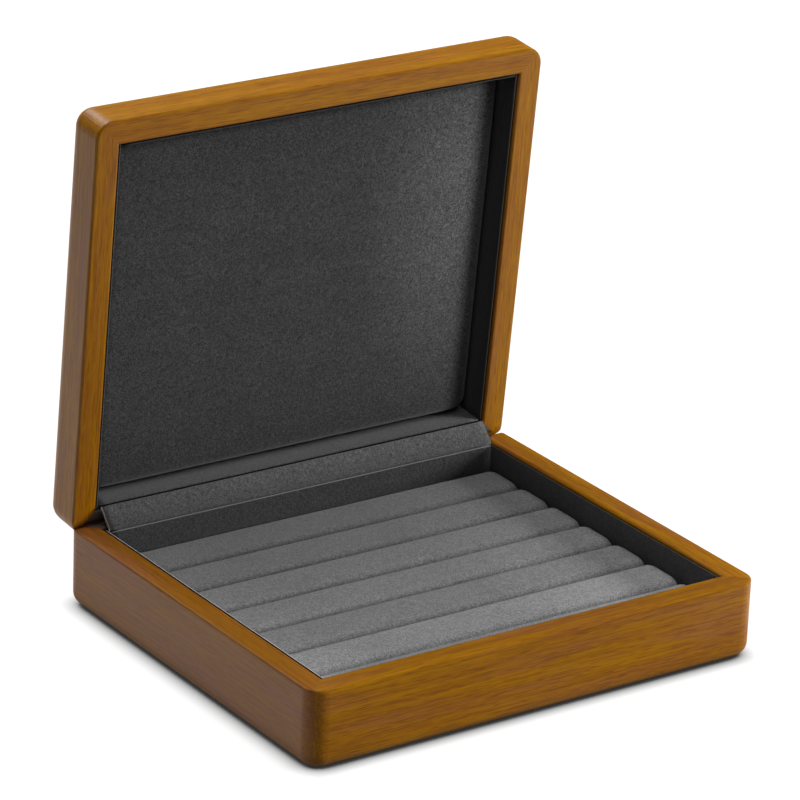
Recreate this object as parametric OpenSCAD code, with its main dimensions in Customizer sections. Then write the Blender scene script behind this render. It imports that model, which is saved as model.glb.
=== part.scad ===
// Ring display box: a mitred hardwood case and lid, lined with suede, with a sprung strip over the
// hinge and a row of padded rolls that grip the rings. Millimetres, +X to the right along the front,
// +Y to the hinge side, +Z up. The origin is the middle of the felt underneath. The lid stands open.

/* [Box] */
// Width across the front
box_w = 220; // [180:1:300]
// Depth from the front to the hinge side
box_d = 188; // [150:1:250]
// Height of the case, from the table to its rim
case_h = 35; // [32:0.5:60]
// Height of the lid, from its rim to its top
lid_h = 22; // [21:0.5:40]
// Angle that the lid stands open at
open_angle = 85; // [70:1:88]

/* [Rails] */
// Thickness of the wooden rails
rail_t = 11; // [10.5:0.1:14]
// Radius of the upright corners, seen from above
corner_r = 8; // [7.5:0.1:9]
// Radius along the lower edge of the case
case_edge_r = 6; // [2:0.5:7]
// Radius along the upper edge of the lid
lid_edge_r = 7.5; // [2:0.5:7.5]
// Radius of the arrises round both rims
rim_r = 1.2; // [0.4:0.1:1.6]
// Gap between the two rims when the lid is shut
rim_gap = 0.4; // [0.2:0.1:0.8]
// How far the back of both rims is rounded over behind the hinge pin
back_bevel = 5; // [4:0.1:6]

/* [Panels] */
// Thickness of the floor of the case
floor_t = 4; // [3:0.1:5]
// Thickness of the top of the lid
top_t = 4; // [3:0.1:5]
// How far the panels reach into the rails
rebate_w = 3; // [2:0.1:3.4]
// Side clearance of a panel in its rebate
panel_gap = 0.15; // [0.1:0.05:0.3]
// Thickness of the felt underneath
felt_t = 1; // [0.6:0.1:2]
// How far the felt stands proud of the rails
felt_proud = 0.3; // [0.1:0.1:0.5]

/* [Lining] */
// Thickness of the suede-covered card along the walls
liner_t = 1; // [0.8:0.1:1.4]
// Gap between the wood and the card
liner_gap = 0.3; // [0.2:0.05:0.5]
// How far the card stops below the rim
liner_drop = 1; // [0.5:0.1:2]
// Thickness of the card board behind the lid's pad
pad_board_t = 2; // [1:0.1:3]
// Depth of the lid's pad below the rim
pad_depth = 9.3; // [9.2:0.1:12]
// Gap round the lid's pad
pad_gap = 1.2; // [0.8:0.1:2]
// Radius of the pad's soft edge
pad_edge_r = 6; // [5:0.1:6.5]
// Rise of the pad's face towards its middle
pad_crown = 0.5; // [0:0.1:1]

/* [Ring rolls] */
// Number of rolls
roll_count = 7; // [4:1:10]
// Height of a roll above its tray
roll_h = 16.4; // [10:0.1:18]
// Gap between two rolls
roll_gap = 0.3; // [0.2:0.1:0.8]
// Thickness of the tray that the rolls stand on
tray_t = 2; // [1:0.1:3]
// How much narrower a roll is at its foot than at its widest, on each side
roll_draw = 0.7; // [0.2:0.1:1.5]
// How far the rounding reaches in from the end of a roll
roll_end_r = 4; // [2:0.5:10]

/* [Hinge] */
// Distance between the middles of the two hinges
hinge_spread = 116; // [90:1:120]
// Length of one hinge
hinge_len = 44; // [36:1:50]
// Outer radius of the knuckles
knuckle_r = 1.7; // [1.5:0.1:1.9]
// Radius of the hinge pin
pin_r = 0.8; // [0.6:0.05:0.9]
// Radial running clearance between pin and knuckle
pin_gap = 0.05; // [0.03:0.01:0.1]
// Thickness of the leaves
leaf_t = 0.8; // [0.6:0.1:1]
// Height of the leaf's flange on the inner face of the rail
flange_h = 10; // [8:0.5:12]
// Outer radius of the bend between a leaf and its flange
bend_r = 1.6; // [1.4:0.1:2]
// Radius of the screws' shanks
screw_r = 0.9; // [0.7:0.1:1.1]
// Radius of the screws' heads
screw_head_r = 1.9; // [1.6:0.1:2.2]
// Length of a screw
screw_len = 7; // [5:0.5:8]
// Distance between the two screws of one flange
screw_spread = 28; // [20:1:32]

/* [Hinge cover] */
// Thickness of the suede-covered strip
cover_t = 1.4; // [1.2:0.1:1.6]
// Distance from the hinge pin to the strip's fold
fold_reach = 8.6; // [8.4:0.1:9]
// Thickness of the spring plate inside the strip
plate_t = 0.5; // [0.3:0.1:0.6]
// Running clearance round the strip
cover_gap = 0.3; // [0.2:0.05:0.4]

/* [Hidden] */
$fn = 64;

wood = "#A9701F";
panel_wood = "#8E5F2A";
dark_suede = "#3A3B3D";
light_suede = "#77787A";
card = "#5B5249";
steel = "#B9BCC0";
brass = "#B58F45";

// Small overrun of a cutter past the face that it cuts
over = 1;

// Inner faces of the rails, and faces of the linings
inner_x = box_w / 2 - rail_t;
inner_y = box_d / 2 - rail_t;
lined_x = inner_x - liner_gap - liner_t;
lined_front_y = -(inner_y - liner_gap - liner_t);

// Heights, with the lid's as they are when it is shut
rim_z = case_h;
lid_rim_z = case_h + rim_gap;
lid_top_z = lid_rim_z + lid_h;
floor_z = felt_t;
floor_top_z = floor_z + floor_t;
tray_top_z = floor_top_z + tray_t;
lid_ceiling_z = lid_top_z - top_t;
pad_board_z = lid_ceiling_z - pad_board_t;
pad_face_z = lid_rim_z + pad_depth;

// The hinge pin lies half way up the gap between the rims
hinge_y = box_d / 2 - back_bevel;
hinge_z = rim_z + rim_gap / 2;
groove_gap = 0.3;
seat_gap = 0.1;
end_gap = 0.3;
knuckle_count = 3;
knuckle_len = (hinge_len - (knuckle_count - 1) * end_gap) / knuckle_count;
leaf_edge_y = hinge_y - knuckle_r - groove_gap;
tongue_y = hinge_y - knuckle_r + 0.5;
screw_z = rim_z - flange_h * 0.55;
screw_play = 0.05;
head_t = leaf_t + 0.2;

half_open = open_angle / 2;

// Both back edges are rounded to touch a slope of half the open angle that runs down from the pin, so
// the two rounds meet, and stop the lid, when it stands open
back_round_r = back_bevel / cos(half_open) / (tan(half_open / 2) + tan(45 - half_open / 2));

// The strip turns about its fold, and its free edge reaches the lid's lining when the lid stands open
fold_y = hinge_y - fold_reach;
lid_liner_reach = fold_reach - (cover_t / 2 + cover_gap) / cos(half_open);
cover_h = (fold_reach - lid_liner_reach * cos(open_angle)) * sin(half_open)
    + lid_liner_reach * sin(open_angle) * cos(half_open);
cover_x = lined_x - cover_gap;
case_back_face_y = fold_y - cover_t / 2;
lid_back_face_y = hinge_y - lid_liner_reach;
case_back_liner_top_z = hinge_z - cover_t / 2 - cover_gap;

// The rolls fill the case between the front and back linings
rolls_front_y = lined_front_y + roll_gap;
rolls_back_y = case_back_face_y - roll_gap;
roll_pitch = (rolls_back_y - rolls_front_y + roll_gap) / roll_count;
roll_w = roll_pitch - roll_gap;
roll_x = lined_x - roll_gap;

// Turns a lid piece from its shut place to where it stands open
module opened() {
    translate([0, hinge_y, hinge_z]) rotate([-open_angle, 0, 0]) translate([0, -hinge_y, -hinge_z]) children();
}

// Turns a piece of the hinge strip from upright to where it leans against the lid
module leaning() {
    translate([0, fold_y, hinge_z]) rotate([-half_open, 0, 0]) translate([0, -fold_y, -hinge_z]) children();
}

// Mirrors a piece at the hinge, from the case up to the lid
module across_hinge() {
    translate([0, 0, 2 * hinge_z]) mirror([0, 0, 1]) children();
}

// Section of a rail: x runs in from the outer face and y from the closed side to the rim
module rail_section(height, edge_r, rebate_h) {
    round_r = min(edge_r, rail_t - rebate_w - 0.5, corner_r);
    difference() {
        union() {
            translate([0, round_r]) square([rail_t, height - round_r - rim_r]);
            translate([round_r, 0]) square([rail_t - round_r, round_r]);
            translate([rim_r, height - rim_r]) square([rail_t - 2 * rim_r, rim_r]);
            translate([round_r, round_r]) circle(round_r);
            translate([rim_r, height - rim_r]) circle(rim_r);
            translate([rail_t - rim_r, height - rim_r]) circle(rim_r);
        }
        translate([rail_t - rebate_w, -over]) square([rebate_w + over, rebate_h + over]);
    }
}

// One rail along X, mitred at both ends, with its outer face at y = 0 and its inside towards +y
module rail(length, height, edge_r, rebate_h) {
    straight = length / 2 - corner_r;
    intersection() {
        translate([-straight, 0, 0]) rotate([90, 0, 90])
            linear_extrude(2 * straight) rail_section(height, edge_r, rebate_h);
        translate([0, 0, -over]) linear_extrude(height + 2 * over)
            polygon([[-length / 2, 0], [length / 2, 0], [length / 2 - rail_t, rail_t], [rail_t - length / 2, rail_t]]);
    }
    for (side = [-1, 1])
        translate([side * straight, corner_r, 0])
            rotate_extrude(angle = 45, start = side > 0 ? -90 : -135)
                intersection() {
                    translate([corner_r, 0]) mirror([1, 0]) rail_section(height, edge_r, rebate_h);
                    square([corner_r, height]);
                }
}

// The four places of a rail round the box
module front_side() { translate([0, -box_d / 2, 0]) children(); }
module back_side() { translate([0, box_d / 2, 0]) rotate([0, 0, 180]) children(); }
module left_side() { translate([-box_w / 2, 0, 0]) rotate([0, 0, -90]) children(); }
module right_side() { translate([box_w / 2, 0, 0]) rotate([0, 0, 90]) children(); }

module case_rail(length) {
    translate([0, 0, felt_proud])
        rail(length, rim_z - felt_proud, case_edge_r, floor_top_z - felt_proud);
}

module lid_rail(length) {
    translate([0, 0, lid_top_z]) mirror([0, 0, 1]) rail(length, lid_h, lid_edge_r, top_t);
}

// The rounding along the back of the case's rim, as a cutter that runs across the whole box
module back_edge_cutter() {
    translate([-box_w, box_d / 2 - back_round_r, rim_z - back_round_r]) rotate([90, 0, 90])
        linear_extrude(2 * box_w) difference() {
            square(back_round_r + over);
            circle(back_round_r);
        }
}

// What one hinge takes out of the case's back rail: its groove, the leaf's seat and the screw holes
module hinge_seat() {
    seat_len = hinge_len + 2 * end_gap;
    for (side = [-1, 1]) translate([side * hinge_spread / 2, 0, 0]) {
        translate([-seat_len / 2, hinge_y, hinge_z]) rotate([0, 90, 0])
            cylinder(r = knuckle_r + groove_gap, h = seat_len);
        translate([-seat_len / 2, inner_y - over, rim_z - leaf_t - seat_gap])
            cube([seat_len, hinge_y - inner_y + over, leaf_t + seat_gap + over]);
        translate([-seat_len / 2, inner_y - over, rim_z - flange_h - seat_gap])
            cube([seat_len, leaf_t + seat_gap + over, flange_h + seat_gap + over]);
        translate([-seat_len / 2, 0, 0]) difference() {
            translate([0, inner_y - over, rim_z - bend_r]) cube([seat_len, bend_r + over, bend_r + over]);
            translate([-over, inner_y + bend_r, rim_z - bend_r]) rotate([0, 90, 0])
                cylinder(r = bend_r - leaf_t - seat_gap, h = seat_len + 2 * over);
        }
        for (end = [-1, 1])
            translate([end * screw_spread / 2, inner_y, screw_z]) rotate([-90, 0, 0])
                cylinder(r = screw_r + screw_play, h = screw_len + seat_gap);
    }
}

module case_front_rail() { color(wood) front_side() case_rail(box_w); }

module case_left_rail() {
    color(wood) difference() {
        left_side() case_rail(box_d);
        back_edge_cutter();
    }
}

module case_right_rail() {
    color(wood) difference() {
        right_side() case_rail(box_d);
        back_edge_cutter();
    }
}

module case_back_rail() {
    color(wood) difference() {
        back_side() case_rail(box_w);
        back_edge_cutter();
        hinge_seat();
    }
}

module lid_front_rail() { color(wood) opened() front_side() lid_rail(box_w); }

module lid_left_rail() {
    color(wood) opened() difference() {
        left_side() lid_rail(box_d);
        across_hinge() back_edge_cutter();
    }
}

module lid_right_rail() {
    color(wood) opened() difference() {
        right_side() lid_rail(box_d);
        across_hinge() back_edge_cutter();
    }
}

module lid_back_rail() {
    color(wood) opened() difference() {
        back_side() lid_rail(box_w);
        across_hinge() back_edge_cutter();
        across_hinge() hinge_seat();
    }
}

// A flat board centred on x = 0, from one y to another
module board(half_x, y0, y1, z0, thick) {
    translate([-half_x, y0, z0]) cube([2 * half_x, y1 - y0, thick]);
}

panel_x = inner_x + rebate_w - panel_gap;
panel_y = inner_y + rebate_w - panel_gap;

module case_floor() { color(panel_wood) board(panel_x, -panel_y, panel_y, floor_z, floor_t); }

module case_felt() {
    felt_edge = 0.8;
    color(dark_suede) board(panel_x - felt_edge, felt_edge - panel_y, panel_y - felt_edge, 0, felt_t);
}

module lid_top() { color(wood) opened() board(panel_x, -panel_y, panel_y, lid_ceiling_z, top_t); }

// Section of a card strip whose free edge is rounded by its suede, with x across it and y up
module liner_section(thick, height) {
    square([thick, height - thick / 2]);
    translate([thick / 2, height - thick / 2]) circle(thick / 2);
}

// A card strip along X, standing on z = 0 with its back at y = 0 and its face towards +y
module liner(length, thick, height) {
    translate([-length / 2, 0, 0]) rotate([90, 0, 90]) linear_extrude(length) liner_section(thick, height);
}

liner_len_y = 2 * (inner_y - liner_gap);
cross_liner_len = 2 * cover_x;
case_liner_h = rim_z - liner_drop - floor_top_z;
lid_liner_h = lid_ceiling_z - lid_rim_z - liner_drop;
case_back_liner_t = inner_y - liner_gap - case_back_face_y;
lid_back_liner_t = inner_y - liner_gap - lid_back_face_y;

module on_case_floor() { translate([0, 0, floor_top_z]) children(); }
module under_lid_ceiling() { translate([0, 0, lid_ceiling_z]) mirror([0, 0, 1]) children(); }
module at_wood_x(side) { translate([side * (inner_x - liner_gap), 0, 0]) rotate([0, 0, side * 90]) children(); }
module at_front_wood() { translate([0, -(inner_y - liner_gap), 0]) children(); }
module at_back_wood() { translate([0, inner_y - liner_gap, 0]) rotate([0, 0, 180]) children(); }

module case_front_liner() {
    color(dark_suede) on_case_floor() at_front_wood() liner(cross_liner_len, liner_t, case_liner_h);
}

module case_left_liner() {
    color(dark_suede) on_case_floor() at_wood_x(-1) liner(liner_len_y, liner_t, case_liner_h);
}

module case_right_liner() {
    color(dark_suede) on_case_floor() at_wood_x(1) liner(liner_len_y, liner_t, case_liner_h);
}

module case_back_liner() {
    color(dark_suede) on_case_floor() at_back_wood()
        liner(cross_liner_len, case_back_liner_t, case_back_liner_top_z - floor_top_z);
}

module lid_front_liner() {
    color(dark_suede) opened() under_lid_ceiling() at_front_wood() liner(cross_liner_len, liner_t, lid_liner_h);
}

module lid_left_liner() {
    color(dark_suede) opened() under_lid_ceiling() at_wood_x(-1) liner(liner_len_y, liner_t, lid_liner_h);
}

module lid_right_liner() {
    color(dark_suede) opened() under_lid_ceiling() at_wood_x(1) liner(liner_len_y, liner_t, lid_liner_h);
}

module lid_back_liner() {
    color(dark_suede) opened() under_lid_ceiling() at_back_wood()
        liner(cross_liner_len, lid_back_liner_t, lid_liner_h);
}

pad_x = lined_x - pad_gap;
pad_front_y = lined_front_y + pad_gap;
pad_back_y = lid_back_face_y - pad_gap;
pad_t = pad_board_z - pad_face_z;

module lid_pad_board() { color(card) opened() board(pad_x, pad_front_y, pad_back_y, pad_board_z, pad_board_t); }

// One closed skin through a stack of rings that all have as many points, capped at both ends
module lofted(rings) {
    count = len(rings[0]);
    points = [for (ring = rings) each ring];
    sides = [
        for (r = [0:len(rings) - 2], k = [0:count - 1])
            let (a = r * count + k, b = r * count + (k + 1) % count)
                each [[a, b, b + count], [a, b + count, a + count]]
    ];
    first_cap = [for (k = [1:count - 2]) [0, k + 1, k]];
    last = (len(rings) - 1) * count;
    last_cap = [for (k = [1:count - 2]) [last, last + k, last + k + 1]];
    polyhedron(points = points, faces = concat([for (f = sides) [f[2], f[1], f[0]]],
        [for (f = first_cap) [f[2], f[1], f[0]]], [for (f = last_cap) [f[2], f[1], f[0]]]));
}

// A ring of points round a rectangle with soft corners, at one height
function soft_rectangle(half_x, half_y, round_r, z, steps = 5) = [
    for (q = [0:3], s = [0:steps])
        let (
            a = 90 * q + 90 * s / steps,
            cx = (q == 0 || q == 3 ? 1 : -1) * (half_x - round_r),
            cy = (q < 2 ? 1 : -1) * (half_y - round_r)
        ) [cx + round_r * cos(a), cy + round_r * sin(a), z]
];

// The pad: a sunk foot, a soft edge that rolls over a quarter turn, and a face that rises a little
module lid_pad() {
    half_y = (pad_back_y - pad_front_y) / 2;
    edge_r = min(pad_edge_r, pad_t - 0.4);
    foot_in = 0.4;
    plan_r = 4;
    edge_steps = 6;
    crown_steps = 5;
    rings = concat(
        [soft_rectangle(pad_x - foot_in, half_y - foot_in, plan_r, 0)],
        [for (i = [0:edge_steps])
            let (a = 90 * i / edge_steps, inset = edge_r * (1 - cos(a)))
                soft_rectangle(pad_x - inset, half_y - inset, plan_r, pad_t - edge_r + edge_r * sin(a))],
        [for (i = [1:crown_steps])
            let (f = i / (crown_steps + 1), inset = edge_r + f * (half_y - edge_r - plan_r))
                soft_rectangle(pad_x - inset, half_y - inset, plan_r, pad_t + pad_crown * sin(90 * f))]
    );
    color(dark_suede) opened() translate([0, (pad_back_y + pad_front_y) / 2, pad_board_z])
        mirror([0, 0, 1]) lofted(rings);
}

module roll_tray() {
    color(card) board(roll_x, rolls_front_y, rolls_back_y, floor_top_z, tray_t);
}

// Section of a roll, foot at z = 0: its sides lean out to the widest line, then round over to a low crown,
// crisply at the back and in a soft shoulder at the front
function roll_outline(half_w, height, steps = 16) =
    let (widest = 0.5, front_shoulder = [0.44, 0.66], back_edge = [0.3, 0.5])
    concat(
        [[roll_draw - half_w, 0], [half_w - roll_draw, 0]],
        [for (i = [0:steps])
            let (a = 180 * i / steps, c = cos(a), s = sin(a), bend = c < 0 ? front_shoulder : back_edge)
                [half_w * sign(c) * pow(abs(c), bend[0]), height * (widest + (1 - widest) * pow(s, bend[1]))]]
    );

// One padded roll along X, whose ends round down to the linings
module ring_roll(number) {
    half_w = roll_w / 2;
    end_steps = 5;
    end_in = [for (i = [0:end_steps]) roll_end_r * (1 - cos(90 * i / end_steps))];
    // Share of the full height at a distance from the end
    function swell(d) = 0.91 + 0.09 * sqrt(1 - pow(1 - min(d / roll_end_r, 1), 2));
    stations = concat(
        [for (d = end_in) [d - roll_x, swell(d)]],
        [[0, 1.01]],
        [for (i = [end_steps:-1:0]) [roll_x - end_in[i], swell(end_in[i])]]
    );
    rings = [for (s = stations) [for (p = roll_outline(half_w * (0.92 + 0.08 * min(s[1], 1)), roll_h * s[1] / 1.01))
        [s[0], p[0], p[1]]]];
    color(light_suede)
        translate([0, rolls_back_y - half_w - (number - 1) * roll_pitch, tray_top_z]) lofted(rings);
}

// Section of one hinge leaf, y across and z up: the plate on the rim, the bend and the flange
module leaf_section() {
    translate([inner_y + bend_r, rim_z - leaf_t]) square([leaf_edge_y - inner_y - bend_r, leaf_t]);
    translate([inner_y, rim_z - flange_h]) square([leaf_t, flange_h - bend_r]);
    intersection() {
        translate([inner_y + bend_r, rim_z - bend_r]) difference() {
            circle(bend_r);
            circle(bend_r - leaf_t);
        }
        translate([inner_y, rim_z - bend_r]) square([bend_r, bend_r]);
    }
}

function knuckle_start(k) = -hinge_len / 2 + k * (knuckle_len + end_gap);

// One pair of leaves of the case, with the knuckles named in the list
module leaves(knuckles) {
    for (side = [-1, 1]) translate([side * hinge_spread / 2, 0, 0]) difference() {
        union() {
            translate([-hinge_len / 2, 0, 0]) rotate([90, 0, 90]) linear_extrude(hinge_len) leaf_section();
            for (k = knuckles) translate([knuckle_start(k), 0, 0]) {
                translate([0, leaf_edge_y - 0.1, rim_z - leaf_t])
                    cube([knuckle_len, tongue_y - leaf_edge_y + 0.1, leaf_t]);
                translate([0, hinge_y, hinge_z]) rotate([0, 90, 0]) cylinder(r = knuckle_r, h = knuckle_len);
            }
        }
        translate([-hinge_len, hinge_y, hinge_z]) rotate([0, 90, 0])
            cylinder(r = pin_r + pin_gap, h = 2 * hinge_len);
        for (end = [-1, 1])
            translate([end * screw_spread / 2, inner_y, screw_z]) rotate([-90, 0, 0]) {
                translate([0, 0, -over]) cylinder(r = screw_r + screw_play, h = leaf_t + 2 * over);
                screw_head(screw_play);
            }
    }
}

// The cone of a countersunk head, point first along +z, let out by a clearance
module screw_head(clearance) {
    rotate_extrude() polygon([
        [0, -seat_gap], [screw_head_r + clearance, -seat_gap], [screw_head_r + clearance, 0],
        [screw_r + clearance, head_t - seat_gap], [0, head_t - seat_gap]
    ]);
}

module screws() {
    tip_h = 1.5;
    for (side = [-1, 1], end = [-1, 1])
        translate([side * hinge_spread / 2 + end * screw_spread / 2, inner_y, screw_z]) rotate([-90, 0, 0])
            rotate_extrude() polygon([
                [0, 0], [screw_head_r, 0], [screw_r, head_t - seat_gap], [screw_r, screw_len - tip_h],
                [0, screw_len]
            ]);
}

module case_hinge_leaves() { color(brass) leaves([0, 2]); }
module lid_hinge_leaves() { color(brass) opened() across_hinge() leaves([1]); }
module case_hinge_screws() { color(steel) screws(); }
module lid_hinge_screws() { color(steel) opened() across_hinge() screws(); }

module hinge_pins() {
    color(steel) for (side = [-1, 1])
        translate([side * hinge_spread / 2 - hinge_len / 2, hinge_y, hinge_z]) rotate([0, 90, 0])
            cylinder(r = pin_r, h = hinge_len);
}

// Section of the strip, upright, with its fold at the origin
module cover_section() {
    tip = cover_h - cover_t / 2;
    slot_h = tip - 1;
    difference() {
        union() {
            circle(cover_t / 2);
            translate([-cover_t / 2, 0]) square([cover_t, tip]);
            translate([0, tip]) circle(cover_t / 2);
        }
        translate([-plate_t / 2, (tip - slot_h) / 2]) square([plate_t, slot_h]);
    }
}

module hinge_cover() {
    color(dark_suede) leaning() translate([-cover_x, fold_y, hinge_z]) rotate([90, 0, 90])
        linear_extrude(2 * cover_x) cover_section();
}

module cover_spring_plate() {
    tip = cover_h - cover_t / 2;
    color(steel) leaning() translate([-cover_x, fold_y - plate_t / 2, hinge_z + 0.5])
        cube([2 * cover_x, plate_t, tip - 1]);
}

case_front_rail();
case_left_rail();
case_right_rail();
case_back_rail();
case_floor();
case_felt();
lid_front_rail();
lid_left_rail();
lid_right_rail();
lid_back_rail();
lid_top();
case_front_liner();
case_left_liner();
case_right_liner();
case_back_liner();
lid_front_liner();
lid_left_liner();
lid_right_liner();
lid_back_liner();
lid_pad_board();
lid_pad();
roll_tray();
for (i = [1:roll_count]) ring_roll(i);
case_hinge_leaves();
lid_hinge_leaves();
hinge_pins();
case_hinge_screws();
lid_hinge_screws();
hinge_cover();
cover_spring_plate();
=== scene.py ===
"""Looks of the ring display box: oiled hardwood, suede over card and foam, and the light that shows them."""

import logging
import math
from dataclasses import dataclass, field, replace
from enum import Enum
from functools import cache
from typing import Iterable, Sequence

import bpy
from mathutils import Matrix, Vector, noise

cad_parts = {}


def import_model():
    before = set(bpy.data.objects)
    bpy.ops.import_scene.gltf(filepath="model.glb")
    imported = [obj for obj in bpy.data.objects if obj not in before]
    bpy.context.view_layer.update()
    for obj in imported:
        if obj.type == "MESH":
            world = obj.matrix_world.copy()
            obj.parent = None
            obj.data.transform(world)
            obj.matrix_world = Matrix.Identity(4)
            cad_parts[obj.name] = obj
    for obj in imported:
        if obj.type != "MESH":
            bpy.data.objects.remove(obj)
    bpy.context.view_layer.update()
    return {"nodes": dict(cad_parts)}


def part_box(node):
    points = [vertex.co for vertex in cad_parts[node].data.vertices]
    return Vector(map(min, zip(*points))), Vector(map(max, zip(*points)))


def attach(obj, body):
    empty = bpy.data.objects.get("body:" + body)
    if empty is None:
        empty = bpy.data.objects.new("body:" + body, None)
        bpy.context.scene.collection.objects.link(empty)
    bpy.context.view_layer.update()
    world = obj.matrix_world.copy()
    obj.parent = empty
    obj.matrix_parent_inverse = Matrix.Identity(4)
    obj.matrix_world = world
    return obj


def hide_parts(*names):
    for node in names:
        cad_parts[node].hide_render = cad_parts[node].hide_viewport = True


LOG = logging.getLogger("ring_box")
MM = 0.001
Point = tuple[float, float, float]
Colour = tuple[float, float, float]
Socket = bpy.types.NodeSocket
Material = bpy.types.Material


class Body(Enum):
    """The bodies that the pieces ride on."""

    CASE = "case"
    LID = "lid"
    COVER = "cover"


class Grain(Enum):
    """The direction in which the grain of a board runs, with the lid shut."""

    ALONG_X = 0.0
    ALONG_Y = 90.0


def linear(red: float, green: float, blue: float) -> Colour:
    """Turns a colour as it is seen on screen into scene light.

    Args:
        red: From 0 to 255.
        green: From 0 to 255.
        blue: From 0 to 255.

    Returns:
        The linear colour.
    """
    shares = (value / 255.0 for value in (red, green, blue))
    return tuple(share / 12.92 if share <= 0.04045 else ((share + 0.055) / 1.055) ** 2.4 for share in shares)


@dataclass(frozen=True)
class BoxSizes:
    """The box's own sizes, in metres and degrees, as the frame holds them."""

    open_angle: float = 85.0
    hinge_y: float = 89.0 * MM
    hinge_z: float = 35.2 * MM
    fold_y: float = 80.4 * MM
    cover_thickness: float = 1.4 * MM
    half_gap: float = 0.2 * MM

    def opened(self) -> Matrix:
        """The turn that takes a lid piece from its shut place to where it stands open."""
        return self.about_x(self.hinge_y, self.hinge_z, -self.open_angle)

    def leaning(self) -> Matrix:
        """The turn that takes the upright strip to where it leans against the lid."""
        return self.about_x(self.fold_y, self.hinge_z, -self.open_angle / 2)

    @staticmethod
    def about_x(y: float, z: float, degrees: float) -> Matrix:
        """A turn about a line along X.

        Args:
            y: Where the line lies.
            z: Height of the line.
            degrees: The angle, positive from +Y to +Z.

        Returns:
            The turn as a matrix.
        """
        centre = Vector((0.0, y, z))
        turn = Matrix.Rotation(math.radians(degrees), 4, "X")
        return Matrix.Translation(centre) @ turn @ Matrix.Translation(-centre)


@dataclass(frozen=True)
class Pattern:
    """A noise: the size of its features in metres, its octaves, the share each keeps, and its distortion."""

    size: Point
    detail: float = 2.0
    rough: float = 0.5
    twist: float = 0.0


def along_grain(length: float, width: float, **look: float) -> Pattern:
    """A pattern of fibres along X.

    Args:
        length: Length of a fibre in millimetres.
        width: Width of a fibre in millimetres.
        **look: The pattern's other values.

    Returns:
        The pattern.
    """
    return Pattern((length * MM, width * MM, width * MM), **look)


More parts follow.
